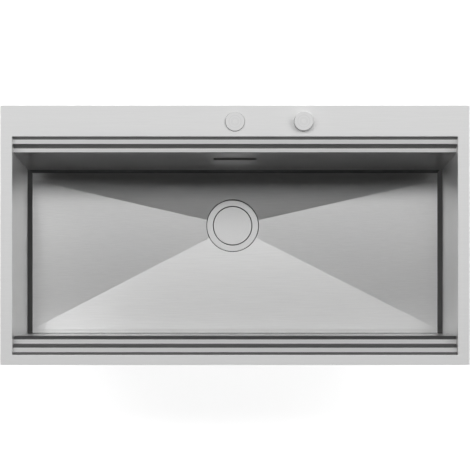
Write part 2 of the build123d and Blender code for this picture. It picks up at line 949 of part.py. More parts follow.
def cable_ferrules():
    """The metal ends of the sheath, in the housing and in the stop bracket."""
    outer_end = Vector(sheath_start_x, cable_y, cable_level)
    inner_end = outer_end + Vector(ferrule_length, 0, 0)
    past = Vector(overrun, 0, 0)
    upper = rod_along(ferrule_radius, outer_end, inner_end)
    upper -= rod_along(sheath_bore, outer_end - past, inner_end + past)
    lower = ring(ferrule_radius, sheath_bore, sheath_end_level, stop_level, drain_x, eye_y)
    return Compound(children=[upper, lower])


def cable_clips(path):
    """Blocks that hold the sheath to the back of the rear panel."""
    sheath_space = swept_round(path, sheath_radius)
    height = cable_wall_gap + sheath_radius * 2 + clip_wall
    clips = []
    for share in cable_clip_shares:
        level = deck_top - cable_wall_top - share * (cable_wall_foot - cable_wall_top)
        place = wall_plane(level) * Pos(cable_wall_x, 0, -sheet - height / 2)
        clips.append(place * Box(clip_block, clip_block, height) - sheath_space)
    return Compound(children=clips)


def cable_eye():
    """The block with an eye that takes the lever's end, and the end of the wire below it."""
    middle = Vector(drain_x, eye_y, eye_level)
    half = eye_size / 2
    past = Vector(0, half + overrun, 0)
    body = Pos(*middle) * Box(eye_size, eye_size, eye_size)
    body -= rod_along(eye_bore, middle - past, middle + past)
    return body + rod(wire_radius, stop_level - eye_wire_dip, eye_level - half, drain_x, eye_y)


def cable_stop_bracket():
    """The arm that carries the lower ferrule, ringed round the lever's gland nut."""
    ring_y = lever_y + rocker_seal_thickness
    back_y = ring_y + stop_thickness
    bore = gland_radius + thread_gap
    outer = bore + stop_ring_wall
    half = stop_width / 2
    arm_top = stop_level - stop_rise
    arm_foot = arm_top - stop_thickness
    front = Vector(drain_x, ring_y, lever_level)
    back = Vector(drain_x, back_y, lever_level)
    past = Vector(0, overrun, 0)
    body = rod_along(outer, front, back)
    body += block((drain_x - half, ring_y, arm_foot), (drain_x + half, back_y, lever_level))
    body += block((drain_x - half, ring_y, arm_foot), (drain_x + half, eye_y + half, arm_top))
    body -= rod_along(bore, front - past, back + past)
    return body - rod(ferrule_radius + thread_gap, arm_foot - overrun, arm_top + overrun, drain_x, eye_y)


# Waste

def strainer_flange():
    """The ring in the floor with the cup below it and the open spider at its foot."""
    cup_floor = flange_top - cup_depth
    outer = throat_radius + sheet
    points = [
        (flange_radius, flange_top),
        (throat_radius, flange_top),
        (throat_radius, flange_top - throat_straight),
        (cup_floor_radius, cup_floor),
        (cup_seat_radius, cup_floor),
        (hub_radius, hub_level),
        (clamp_screw_radius + loose_gap, hub_level),
        (clamp_screw_radius + loose_gap, hub_level - sheet),
        (hub_radius, hub_level - sheet),
        (cup_seat_radius, cup_floor - sheet),
        (cup_floor_radius + sheet, cup_floor - sheet),
        (outer, flange_top - throat_straight),
        (outer, flange_top - flange_plate),
        (flange_radius, flange_top - flange_plate),
    ]
    radii = [bend_radius, throat_bend] + [0] * (len(points) - 2)
    flange = turned(points, radii, at=(drain_x, drain_y, 0))
    low = hub_level - overrun
    windows = ring(cup_seat_radius - sheet, hub_radius, low, cup_floor + overrun, drain_x, drain_y)
    reach = cup_seat_radius
    half = spider_arm / 2
    for turn in (0, 90):
        arm = block((-reach, -half, hub_level - overrun * 2), (reach, half, cup_floor + overrun * 2))
        windows -= Location((drain_x, drain_y, 0), (0, 0, turn)) * arm
    return flange - windows


def flange_gasket():
    """The thin ring between the flange and the recess."""
    outer = flange_radius - recess_gap
    high = flange_top - flange_plate
    return ring(outer, outer - flange_gasket_width, recess_level, high, drain_x, drain_y)


def floor_gasket():
    """The thick ring between the recess and the drain body."""
    return ring(collar_radius, cup_bore, collar_top, recess_level - sheet, drain_x, drain_y)


def waste_hollow():
    """The room inside the drain body and its neck."""
    inside = [
        (0, outlet_end - overrun),
        (neck_bore, outlet_end - overrun),
        (neck_bore, neck_top),
        (cup_bore, cone_top),
        (cup_bore, collar_top + overrun),
        (0, collar_top + overrun),
    ]
    return turned(inside, at=(drain_x, drain_y, 0))


def drain_body():
    """The plastic cup under the floor, with its collar, its cone and a hole for the overflow."""
    collar_foot = collar_top - collar_thickness
    outline = [
        (0, collar_top),
        (collar_radius, collar_top),
        (collar_radius, collar_foot),
        (cup_outer, collar_foot),
        (cup_outer, cone_top - sheet),
        (neck_outer, neck_top - sheet),
        (0, neck_top - sheet),
    ]
    body = turned(outline, at=(drain_x, drain_y, 0)) - waste_hollow()
    port = (pipe_x, drain_y + cup_outer + overrun, pipe_level)
    return body - rod_along(pipe_radius + thread_gap, (pipe_x, drain_y, pipe_level), port)


def overflow_port():
    """The side tube on the cup that takes the overflow pipe."""
    mouth = drain_y + cup_outer + port_reach
    start = (pipe_x, drain_y, pipe_level)
    tube = rod_along(spigot_radius, start, (pipe_x, mouth, pipe_level))
    tube -= rod(cup_outer, neck_top, collar_top, drain_x, drain_y)
    return tube - rod_along(pipe_radius + thread_gap, start, (pipe_x, mouth + overrun, pipe_level))


def drain_neck():
    """The lower tube with the lever's port and the threaded outlet."""
    outline = [
        (0, neck_top - sheet),
        (neck_outer, neck_top - sheet),
        (neck_outer, outlet_top),
        (outlet_radius, outlet_top),
        (outlet_radius, outlet_end),
        (0, outlet_end),
    ]
    neck = turned(outline, at=(drain_x, drain_y, 0))
    start = (drain_x, drain_y, lever_level)
    port_back = drain_y + neck_outer + port_length
    neck += rod_along(port_radius, start, (drain_x, port_back, lever_level))
    neck -= waste_hollow()
    past = (drain_x, port_back + overrun, lever_level)
    return neck - rod_along(lever_ball_radius + loose_gap, start, past)


def clamp_bridge():
    """The boss on three arms that takes the clamp screw inside the cone."""
    bridge = rod(boss_radius, boss_end, boss_top, drain_x, drain_y)
    half = rib_thickness / 2
    for share in bridge_turn_shares:
        arm = block((0, -half, boss_end), (cup_outer, half, boss_top - boss_gap))
        bridge += Location((drain_x, drain_y, 0), (0, 0, share * 360)) * arm
    bridge &= waste_hollow()
    bore = clamp_screw_radius + thread_gap / 2
    return bridge - rod(bore, boss_end - overrun, boss_top + overrun, drain_x, drain_y)


def hollow_clamp_screw():
    """The screw that pulls the flange and the drain body together, bored for the pin."""
    head_top = hub_level + clamp_head_height
    screw = rod(clamp_screw_radius, boss_end, hub_level, drain_x, drain_y)
    screw += hexagon(clamp_head_radius, hub_level, head_top, drain_x, drain_y)
    return screw - rod(pin_radius + running_gap, boss_end - overrun, head_top + overrun, drain_x, drain_y)


def lifter_pin():
    """The pin that raises the basket."""
    pin = rod(pin_radius, pin_tip, pin_top, drain_x, drain_y)
    return pin + Pos(drain_x, drain_y, pin_tip) * Sphere(pin_radius)


def strainer_basket():
    """The basket with slotted sides and a post for the cover, bored for its foot screw."""
    rim_top = flange_top - basket_rim_drop
    points = [
        (0, basket_base),
        (basket_base_radius, basket_base),
        (basket_top_radius, rim_top - basket_sheet),
        (basket_rim_radius, rim_top - basket_sheet),
        (basket_rim_radius, rim_top),
        (basket_top_radius - basket_sheet, rim_top),
        (basket_base_radius - basket_sheet, basket_base + basket_sheet),
        (0, basket_base + basket_sheet),
    ]
    basket = turned(points, at=(drain_x, drain_y, 0))
    slot_low = basket_base + basket_sheet * 2
    slot_high = slot_low + basket_slot_height
    half = basket_slot_width / 2
    for turn in range(basket_slot_count):
        slot = block((cup_seat_radius, -half, slot_low), (throat_radius, half, slot_high))
        basket -= Location((drain_x, drain_y, 0), (0, 0, turn * 360 / basket_slot_count)) * slot
    post_top = flange_top - basket_post_drop
    basket += rod(basket_post_radius, basket_base, post_top, drain_x, drain_y)
    basket += rod(basket_peg_radius, post_top, post_top + basket_peg_height, drain_x, drain_y)
    bore_end = basket_base + foot_screw_length + loose_gap
    return basket - rod(foot_screw_radius + thread_gap, basket_base - overrun, bore_end, drain_x, drain_y)


def basket_foot_screw():
    """The screw under the basket whose head rests on the pin and sets the basket's height."""
    low = pin_top + seat_gap
    screw = rod(foot_screw_radius, low, basket_base + foot_screw_length, drain_x, drain_y)
    return screw + rod(basket_foot_radius, low, basket_base - seat_gap, drain_x, drain_y)


def basket_seal():
    """The rubber ring under the basket that closes the drain."""
    outer = basket_base_radius + basket_seal_overhang
    low = flange_top - cup_depth + seat_gap
    return ring(outer, outer - basket_seal_width, low, basket_base, drain_x, drain_y)


def drain_cover():
    """The flat disc over the basket."""
    radius = throat_radius - cover_gap
    low = flange_top - cover_thickness
    disc = rod(radius, low, flange_top, drain_x, drain_y)
    disc = chamfer(disc.edges().group_by(Axis.Z)[-1], bend_radius / 2)
    boss_foot = flange_top - basket_post_drop + seat_gap
    disc += rod(cover_boss_radius, boss_foot, low, drain_x, drain_y)
    socket_top = boss_foot + basket_peg_height + loose_gap
    return disc - rod(basket_peg_radius + loose_gap, boss_foot - overrun, socket_top, drain_x, drain_y)


def rocker_lever():
    """The rod with its pivot ball, tilted as it lies when the drain is closed."""
    tilt = Location((drain_x, lever_y, lever_level), (lever_half_angle, 0, 0))
    bar = rod_along(
        lever_rod_radius,
        (0, -lever_inner_arm - lever_overhang, 0),
        (0, lever_outer_arm + lever_overhang, 0),
    )
    return tilt * (bar + Sphere(lever_ball_radius))


def rocker_seal():
    """The rubber ring that backs the pivot ball."""
    start = lever_y + rocker_seal_thickness + thread_gap * 2
    ring_start = (drain_x, start, lever_level)
    ring_end = (drain_x, start + rocker_seal_thickness, lever_level)
    outer = port_radius - thread_gap
    body = rod_along(outer, ring_start, ring_end)
    bore_start = (drain_x, start - overrun, lever_level)
    return body - rod_along(rocker_seal_bore, bore_start, (drain_x, ring_end[1] + overrun, lever_level))


def rocker_gland_nut():
    """The cap nut that holds the ball in its port."""
    wall_start = lever_y + rocker_seal_thickness * 2 + thread_gap * 2
    wall_end = wall_start + gland_wall
    start = wall_end - gland_length
    nut_start = Vector(drain_x, start, lever_level)
    nut_end = Vector(drain_x, wall_end, lever_level)
    past = Vector(0, overrun, 0)
    nut = rod_along(gland_radius, nut_start, nut_end)
    nut -= rod_along(port_radius + thread_gap, nut_start - past, (drain_x, wall_start, lever_level))
    return nut - rod_along(gland_bore, nut_start, nut_end + past)


# Overflow

def on_wall(x, y, z):
    """A place on the rear wall at the overflow, by its distance along, up and into the bowl."""
    return wall_plane(overflow_level) * Pos(x, y, z)


def overflow_cover():
    """The plate over the slot, folded back at its long edges and open at its ends, with two studs."""
    thickness = cover_stand + sheet
    plate = on_wall(0, 0, thickness / 2) * Box(cover_length, cover_height, thickness)
    plate -= on_wall(0, 0, 0) * Box(cover_length + overrun, cover_height - sheet * 2, cover_stand * 2)
    back = sheet + overflow_gasket_thickness + overflow_box_depth + overflow_nut_thickness
    for side in (-1, 1):
        middle = (cover_stand - back) / 2
        plate += on_wall(side * stud_spacing / 2, 0, middle) * Cylinder(stud_radius, cover_stand + back)
    return plate


def stud_bores(radius, depth):
    """Bores for the cover's two studs."""
    bores = on_wall(-stud_spacing / 2, 0, 0) * Cylinder(radius, depth)
    return bores + on_wall(stud_spacing / 2, 0, 0) * Cylinder(radius, depth)


def overflow_gasket():
    """The flat rubber between the rear panel and the overflow housing."""
    middle = -sheet - overflow_gasket_thickness / 2
    pad = on_wall(0, 0, middle) * Box(overflow_box_length, overflow_box_height, overflow_gasket_thickness)
    pad -= on_wall(0, 0, middle) * Box(slot_length, slot_height, overflow_gasket_thickness + overrun)
    return pad - stud_bores(stud_radius + loose_gap, overflow_box_depth)


def overflow_housing():
    """The box behind the slot with its spigot for the pipe."""
    front = -sheet - overflow_gasket_thickness
    middle = front - overflow_box_depth / 2
    box = on_wall(0, 0, middle) * Box(overflow_box_length, overflow_box_height, overflow_box_depth)
    box_foot = overflow_level - overflow_box_height / 2
    spigot_foot = box_foot - spigot_length
    box += rod(spigot_radius, spigot_foot, box_foot + overflow_box_wall * 2, pipe_x, pipe_y)
    inner_length = overflow_box_length - overflow_box_wall * 2
    inner_height = overflow_box_height - overflow_box_wall * 2
    inner = on_wall(0, 0, middle + overflow_box_wall)
    hollow = inner * Box(inner_length, inner_height, overflow_box_depth)
    for side in (-1, 1):
        hollow -= on_wall(side * stud_spacing / 2, 0, middle) * Cylinder(stud_boss_radius, bowl_depth)
    box -= hollow
    bore_top = box_foot + overflow_box_wall
    box -= rod(pipe_radius + thread_gap, spigot_foot - overrun, bore_top, pipe_x, pipe_y)
    return box - stud_bores(stud_radius + loose_gap, bowl_depth)


def overflow_nuts():
    """The nuts on the cover's studs, behind the housing."""
    start = -sheet - overflow_gasket_thickness - overflow_box_depth
    nuts = []
    for side in (-1, 1):
        place = on_wall(side * stud_spacing / 2, 0, start)
        nut = extrude(RegularPolygon(overflow_nut_radius, 6), -overflow_nut_thickness)
        nuts.append(place * (nut - Cylinder(stud_radius + thread_gap, overflow_nut_thickness * 3)))
    return Compound(children=nuts)


def pipe_section(radius, path):
    """One round section carried down the overflow pipe's path."""
    return sweep(Plane(origin=path @ 0, z_dir=path % 0) * Circle(radius), path=path)


def pipe_ends():
    """The top and the front end of the overflow pipe."""
    top = overflow_level - overflow_box_height / 2 - overflow_box_wall
    front = drain_y + cup_outer + seat_gap
    return top, front


def overflow_pipe():
    """The bent pipe from the overflow housing to the drain body."""
    top, front = pipe_ends()
    route = [(pipe_x, pipe_y, top), (pipe_x, pipe_y, pipe_level), (pipe_x, front, pipe_level)]
    path = FilletPolyline(*route, radius=pipe_bend_radius).wire()
    return pipe_section(pipe_radius, path) - pipe_section(pipe_radius - pipe_wall, path)


def overflow_pipe_nuts():
    """The union nuts at the two ends of the pipe."""
    spigot_foot = overflow_level - overflow_box_height / 2 - spigot_length
    bore = spigot_radius + thread_gap
    wall = union_radius - bore
    low = spigot_foot - wall
    upper = ring(union_radius, bore, spigot_foot, low + union_length, pipe_x, pipe_y)
    upper += ring(union_radius, pipe_radius + thread_gap, low, spigot_foot, pipe_x, pipe_y)
    mouth = drain_y + cup_outer + port_reach
    end = mouth + wall
    start = end - union_length
    axis_start = (pipe_x, start, pipe_level)
    lower = rod_along(union_radius, axis_start, (pipe_x, end, pipe_level))
    lower -= rod_along(bore, (pipe_x, start - overrun, pipe_level), (pipe_x, mouth, pipe_level))
    lower -= rod_along(pipe_radius + thread_gap, axis_start, (pipe_x, end + overrun, pipe_level))
    return Compound(children=[upper, lower])


def build():
    """Makes every node and writes it."""
    shell = bowl_shell()
    path = cable_path()
    nodes = {
        "deck_plate": deck_plate(),
        "left_end_panel": end_panel(shell, -1),
        "right_end_panel": end_panel(shell, 1),
        "front_panel": long_panel(shell, -1),
        "rear_panel": long_panel(shell, 1) - overflow_holes(),
        "bowl_floor": bowl_floor(shell),
        "rim_seal": rim_seal(),
        "deck_stiffener": deck_stiffener(),
        "clip_brackets": at_each_clip(clip_bracket()),
        "clip_claws": at_each_clip(clip_claw()),
        "clip_screws": at_each_clip(clip_screw()),
        "clip_nuts": at_each_clip(clip_nut()),
        "floor_damping_pads": floor_pads(),
        "wall_damping_pads": wall_pads(),
        "earthing_tab": earthing_tab(),
        "tap_hole_cap": tap_hole_cap(),
        "cap_snap_ring": cap_snap_ring(),
        "cap_seal": cap_seal(),
        "control_knob": control_knob(),
        "knob_grub_screw": knob_grub_screw(),
        "knob_spindle": knob_spindle(),
        "cable_drum": cable_drum(),
        "control_body": control_body(),
        "control_base_cover": control_base_cover(),
        "control_cover_screws": control_cover_screws(),
        "control_gasket": control_gasket(),
        "control_ring_nut": control_ring_nut(),
        "cable_sheath": cable_sheath(path),
        "cable_wire": cable_wire(path),
        "cable_ferrules": cable_ferrules(),
        "cable_clips": cable_clips(path),
        "cable_eye": cable_eye(),
        "cable_stop_bracket": cable_stop_bracket(),
        "strainer_flange": strainer_flange(),
        "flange_gasket": flange_gasket(),
        "floor_gasket": floor_gasket(),
        "drain_body": drain_body(),
        "overflow_port": overflow_port(),
        "drain_neck": drain_neck(),
        "clamp_bridge": clamp_bridge(),
        "hollow_clamp_screw": hollow_clamp_screw(),
        "lifter_pin": lifter_pin(),
        "strainer_basket": strainer_basket(),
        "basket_foot_screw": basket_foot_screw(),
        "basket_seal": basket_seal(),
        "drain_cover": drain_cover(),
        "rocker_lever": rocker_lever(),
        "rocker_seal": rocker_seal(),
        "rocker_gland_nut": rocker_gland_nut(),
        "overflow_cover": overflow_cover(),
        "overflow_gasket": overflow_gasket(),
        "overflow_housing": overflow_housing(),
        "overflow_nuts": overflow_nuts(),
        "overflow_pipe": overflow_pipe(),
        "overflow_pipe_nuts": overflow_pipe_nuts(),
    }
    for name, shape in nodes.items():
        save(shape, name)


build()
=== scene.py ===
import json
import math

import bmesh
import bpy
from mathutils import Matrix, Vector


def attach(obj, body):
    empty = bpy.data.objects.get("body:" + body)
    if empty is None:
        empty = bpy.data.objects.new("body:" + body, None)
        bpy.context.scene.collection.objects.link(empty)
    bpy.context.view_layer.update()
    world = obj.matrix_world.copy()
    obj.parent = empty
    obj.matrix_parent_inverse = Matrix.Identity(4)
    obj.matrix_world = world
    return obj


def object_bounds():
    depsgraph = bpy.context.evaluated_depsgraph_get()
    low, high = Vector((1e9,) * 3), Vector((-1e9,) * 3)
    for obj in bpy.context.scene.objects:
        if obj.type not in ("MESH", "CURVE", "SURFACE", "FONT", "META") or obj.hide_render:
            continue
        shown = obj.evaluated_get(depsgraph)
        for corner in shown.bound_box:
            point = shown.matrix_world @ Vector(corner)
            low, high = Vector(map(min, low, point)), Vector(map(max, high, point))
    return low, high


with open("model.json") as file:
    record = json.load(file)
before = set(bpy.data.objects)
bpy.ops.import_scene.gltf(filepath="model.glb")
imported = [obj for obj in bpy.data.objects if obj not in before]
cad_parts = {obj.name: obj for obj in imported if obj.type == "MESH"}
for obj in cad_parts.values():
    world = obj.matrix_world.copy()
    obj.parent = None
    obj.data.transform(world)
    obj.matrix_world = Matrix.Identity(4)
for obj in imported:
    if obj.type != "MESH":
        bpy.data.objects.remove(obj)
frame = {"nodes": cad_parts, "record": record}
cad_low, cad_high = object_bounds()
nodes = frame["nodes"]

# Places, in metres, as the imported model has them
DECK_TOP = 0.0027
DRAIN = (-0.0052, 0.0312)
TAP_CAP = (0.0, 0.2273)
KNOB = (0.1373, 0.2273)

# Camera: looks straight down, in front of the middle of the sink
CAMERA_HEIGHT = 2.578
CAMERA_Y = -0.1298
CAMERA_LENS = 98.65
SENSOR_WIDTH = 36.0
FRAME_WIDTH = 470.0
PHOTO_SHIFT = 65.0
VIEW_REACH = 50.0

# Studio
STAGE_HALF = 9.0
STAGE_GAP = 0.004
STAGE_COLOUR = (0.86, 0.86, 0.86, 1.0)
STAGE_ROUGHNESS = 0.9
STAGE_GLOW = 0.75
WHITE = (1.0, 1.0, 1.0, 1.0)

# Lamps: each overhead one as its span along X, its span along Y and its brightness,
# and each at a side as its side and its brightness
SOFTBOX_HEIGHT = 3.0
SOFTBOXES = {
    "back_softbox": ((-0.7, 0.75), (0.9, 1.6), 5.0),
    "left_key": ((-0.6, -0.25), (0.9, 1.6), 2.0),
    "right_key": ((0.3, 0.7), (0.9, 1.6), 1.3),
    "left_softbox": ((-3.2, -0.7), (0.75, 2.4), 3.9),
    "right_softbox": ((0.75, 3.2), (0.75, 2.4), 2.7),
}
SIDE_LAMP_DISTANCE = 4.0
SIDE_LAMP_FRONT = -1.6
SIDE_LAMP_BACK = 4.0
SIDE_LAMP_FOOT = 2.3
SIDE_LAMP_TOP = 4.1
SIDE_LAMPS = {"left_side_lamp": (-1, 1.8), "right_side_lamp": (1, 3.4)}

# The room is pale near the horizon and dim overhead
ROOM_DIM = 0.03
ROOM_PALE = 0.95
ROOM_PALE_TO = 0.04
ROOM_DIM_FROM = 0.18


# Node helpers

def new_material(name):
    """An empty node material with its output and a Principled shader."""
    material = bpy.data.materials.new(name)
    material.use_nodes = True
    tree = material.node_tree
    tree.nodes.clear()
    output = tree.nodes.new("ShaderNodeOutputMaterial")
    shader = tree.nodes.new("ShaderNodeBsdfPrincipled")
    tree.links.new(shader.outputs["BSDF"], output.inputs["Surface"])
    return material, tree, shader


def feed(tree, socket, value):
    """Gives a socket a link or a plain value."""
    if hasattr(value, "is_output"):
        tree.links.new(value, socket)
    else:
        socket.default_value = value


def math_node(tree, operation, first, second, clamp=False):
    """A Math node fed by sockets or numbers."""
    node = tree.nodes.new("ShaderNodeMath")
    node.operation = operation
    node.use_clamp = clamp
    feed(tree, node.inputs[0], first)
    feed(tree, node.inputs[1], second)
    return node.outputs["Value"]


def map_range(tree, value, low, high, to_low, to_high):
    """A smooth step from one range to another."""
    node = tree.nodes.new("ShaderNodeMapRange")
    node.interpolation_type = "SMOOTHSTEP"
    node.inputs["From Min"].default_value = low
    node.inputs["From Max"].default_value = high
    node.inputs["To Min"].default_value = to_low
    node.inputs["To Max"].default_value = to_high
    tree.links.new(value, node.inputs["Value"])
    return node.outputs["Result"]


def new_group(name, inputs, outputs):
    """An empty shader node group with named sockets."""
    group = bpy.data.node_groups.new(name, "ShaderNodeTree")
    for label, kind, value in inputs:
        socket = group.interface.new_socket(name=label, in_out="INPUT", socket_type=kind)
        if value is not None:
            socket.default_value = value
    for label, kind in outputs:
        group.interface.new_socket(name=label, in_out="OUTPUT", socket_type=kind)
    return group, group.nodes.new("NodeGroupInput"), group.nodes.new("NodeGroupOutput")


def place_group(tree, group, **values):
    """A group placed in a material with its own values."""
    node = tree.nodes.new("ShaderNodeGroup")
    node.node_tree = group
    for label, value in values.items():
        feed(tree, node.inputs[label], value)
    return node


def blend_values(tree, mask, first, second):
    """One number or the other by a mask."""
    node = tree.nodes.new("ShaderNodeMix")
    node.data_type = "FLOAT"
    for label, value in (("Factor", mask), ("A", first), ("B", second)):
        feed(tree, node.inputs[label], value)
    return node.outputs["Result"]


def object_position(tree):
    """Where a point lies in the object's own frame."""
    return tree.nodes.new("ShaderNodeTexCoord").outputs["Object"]


def surface_normal(tree):
    """Which way the surface faces in the object's own frame."""
    return tree.nodes.new("ShaderNodeTexCoord").outputs["Normal"]


# Shared effects

NOISE_LOW = 0.3
NOISE_HIGH = 0.7
STREAK_SHARE = 0.17
FLAT_FROM = 0.93
FLAT_TO = 0.98
LEAN_FROM = 0.25
LEAN_TO = 0.42


def build_brushed_grain():
    """Fine straight scratches: a mask and a height from noise stretched along one direction."""
    group, inside, outside = new_group(
        "brushed grain",
        [
            ("Position", "NodeSocketVector", None),
            ("Stretch", "NodeSocketVector", (1.0, 1.0, 1.0)),
            ("Fineness", "NodeSocketFloat", 900.0),
        ],
        [("Scratches", "NodeSocketFloat"), ("Streaks", "NodeSocketFloat")],
    )
    scaled = group.nodes.new("ShaderNodeVectorMath")
    scaled.operation = "MULTIPLY"
    group.links.new(inside.outputs["Position"], scaled.inputs[0])
    group.links.new(inside.outputs["Stretch"], scaled.inputs[1])
    fine = group.nodes.new("ShaderNodeTexNoise")
    fine.inputs["Detail"].default_value = 3.0
    fine.inputs["Roughness"].default_value = 0.6
    group.links.new(scaled.outputs["Vector"], fine.inputs["Vector"])
    group.links.new(inside.outputs["Fineness"], fine.inputs["Scale"])
    broad = group.nodes.new("ShaderNodeTexNoise")
    broad.inputs["Detail"].default_value = 2.0
    group.links.new(scaled.outputs["Vector"], broad.inputs["Vector"])
    coarseness = math_node(group, "MULTIPLY", inside.outputs["Fineness"], STREAK_SHARE)
    group.links.new(coarseness, broad.inputs["Scale"])
    group.links.new(fine.outputs["Fac"], outside.inputs["Scratches"])
    group.links.new(broad.outputs["Fac"], outside.inputs["Streaks"])
    return group


def build_soft_mottle():
    """Cloudy variation for moulded, rubber and plated surfaces."""
    group, inside, outside = new_group(
        "soft mottle",
        [
            ("Position", "NodeSocketVector", None),
            ("Size", "NodeSocketFloat", 40.0),
            ("Grit", "NodeSocketFloat", 900.0),
        ],
        [("Clouds", "NodeSocketFloat"), ("Grains", "NodeSocketFloat")],
    )
    for label, scale, detail in (("Clouds", "Size", 4.0), ("Grains", "Grit", 2.0)):
        noise = group.nodes.new("ShaderNodeTexNoise")
        noise.inputs["Detail"].default_value = detail
        group.links.new(inside.outputs["Position"], noise.inputs["Vector"])
        group.links.new(inside.outputs[scale], noise.inputs["Scale"])
        group.links.new(noise.outputs["Fac"], outside.inputs[label])
    return group


def build_tone_spread():
    """Two tones of one colour, mixed by a mask."""
    group, inside, outside = new_group(
        "tone spread",
        [
            ("Mask", "NodeSocketFloat", 0.5),
            ("Darker", "NodeSocketColor", (0.5, 0.5, 0.5, 1.0)),
            ("Lighter", "NodeSocketColor", (0.6, 0.6, 0.6, 1.0)),
        ],
        [("Color", "NodeSocketColor")],
    )
    mix = group.nodes.new("ShaderNodeMix")
    mix.data_type = "RGBA"
    group.links.new(inside.outputs["Mask"], mix.inputs["Factor"])
    group.links.new(inside.outputs["Darker"], mix.inputs["A"])
    group.links.new(inside.outputs["Lighter"], mix.inputs["B"])
    group.links.new(mix.outputs["Result"], outside.inputs["Color"])
    return group


def build_slope_mask():
    """Where a surface lies flat, and where it slopes as bends and risers do."""
    group, inside, outside = new_group(
        "slope mask",
        [("Normal", "NodeSocketVector", None)],
        [("Flat", "NodeSocketFloat"), ("Sloping", "NodeSocketFloat")],
    )
    parts = group.nodes.new("ShaderNodeSeparateXYZ")
    group.links.new(inside.outputs["Normal"], parts.inputs["Vector"])
    upright = parts.outputs["Z"]
    flat = map_range(group, upright, FLAT_FROM, FLAT_TO, 0.0, 1.0)
    leaning = map_range(group, upright, LEAN_FROM, LEAN_TO, 0.0, 1.0)
    group.links.new(flat, outside.inputs["Flat"])
    group.links.new(math_node(group, "SUBTRACT", leaning, flat, clamp=True), outside.inputs["Sloping"])
    return group


def build_level_mask():
    """A soft step from 0 below one level to 1 above another."""
    group, inside, outside = new_group(
        "level mask",
        [
            ("Position", "NodeSocketVector", None),
            ("Low", "NodeSocketFloat", 0.0),
            ("High", "NodeSocketFloat", 0.01),
        ],
        [("Above", "NodeSocketFloat")],
    )
    parts = group.nodes.new("ShaderNodeSeparateXYZ")
    group.links.new(inside.outputs["Position"], parts.inputs["Vector"])
    step = group.nodes.new("ShaderNodeMapRange")
    step.interpolation_type = "SMOOTHSTEP"
    group.links.new(parts.outputs["Z"], step.inputs["Value"])
    group.links.new(inside.outputs["Low"], step.inputs["From Min"])
    group.links.new(inside.outputs["High"], step.inputs["From Max"])
    group.links.new(step.outputs["Result"], outside.inputs["Above"])
    return group


brushed_grain = build_brushed_grain()
soft_mottle = build_soft_mottle()
tone_spread = build_tone_spread()
slope_mask = build_slope_mask()
level_mask = build_level_mask()


def shade(colour, factor):
    """A colour made lighter or darker, with its alpha."""
    return tuple(min(channel * factor, 1.0) for channel in colour[:3]) + (1.0,)


def noise_range(tree, noise, low, high):
    """The middle of a noise spread over a range."""
    return map_range(tree, noise, NOISE_LOW, NOISE_HIGH, low, high)


def two_tones(tree, mask, darker, lighter):
    """A colour between two tones, each a colour or a link."""
    return place_group(tree, tone_spread, Mask=mask, Darker=darker, Lighter=lighter).outputs["Color"]


def spread_tone(tree, noise, colour, spread):
    """A colour that a noise makes a little darker and lighter."""
    mask = noise_range(tree, noise, 0.0, 1.0)
    return two_tones(tree, mask, shade(colour, 1.0 - spread), shade(colour, 1.0 + spread))


def add_bump(tree, shader, height, distance, strength):
    """A Bump node on a shader's normal."""
    bump = tree.nodes.new("ShaderNodeBump")
    bump.inputs["Strength"].default_value = strength
    bump.inputs["Distance"].default_value = distance
    tree.links.new(height, bump.inputs["Height"])
    tree.links.new(bump.outputs["Normal"], shader.inputs["Normal"])


def across_grain(tree, along):
    """The direction within the surface that lies across a straight grain.

    The grain is skewed a little, so that there is one on faces square to it too."""
    geometry = tree.nodes.new("ShaderNodeNewGeometry")
    cross = tree.nodes.new("ShaderNodeVectorMath")
    cross.operation = "CROSS_PRODUCT"
    tree.links.new(geometry.outputs["Normal"], cross.inputs[0])
    cross.inputs[1].default_value = [part + skew for part, skew in zip(along, GRAIN_SKEW)]
    return cross.outputs["Vector"]


# Finishes

SHEET_COLOUR = (0.622, 0.622, 0.621)
# partly the deck's own satin finish, partly painted light: a much lighter copy of the sheet's steel colour
DECK_COLOUR = (0.928, 0.928, 0.927)
# painted light: a lighter steel colour on the ledges' flat tops
LEDGE_PAINTED_LIGHT_COLOUR = (0.975, 0.975, 0.974)
FLOOR_COLOUR = (0.690, 0.690, 0.689)
RING_COLOUR = (0.837, 0.837, 0.836)
LEDGE_ROUGHNESS = 0.85
GRAIN_SKEW = (0.013, 0.017, 0.029)
LEDGE_LEVEL = -0.02
LEDGE_STEP = 0.001
THROAT_LEVEL = -0.2120
THROAT_STEP = 0.0008
THROAT_PAINTED_SHADE = 0.35
GRAIN_FINENESS = 900.0
GRAIN_STRETCH = 0.02
GRAIN_DEPTH = 0.00004
STREAK_SHINE = 0.008
RING_ROUGHNESS = 0.80
RING_SHINE = 0.02
FINE_DEPTH = 0.00003
FINE_RELIEF = 0.3
MILL_GRIT = 1500.0
MILL_DARKER = 0.86
MILL_LIGHTER = 1.08
MILL_DULLER = 0.06
MILL_SHINIER = 0.04
MOULDED_RELIEF = 0.5
MOULDED_SHINE = 0.05


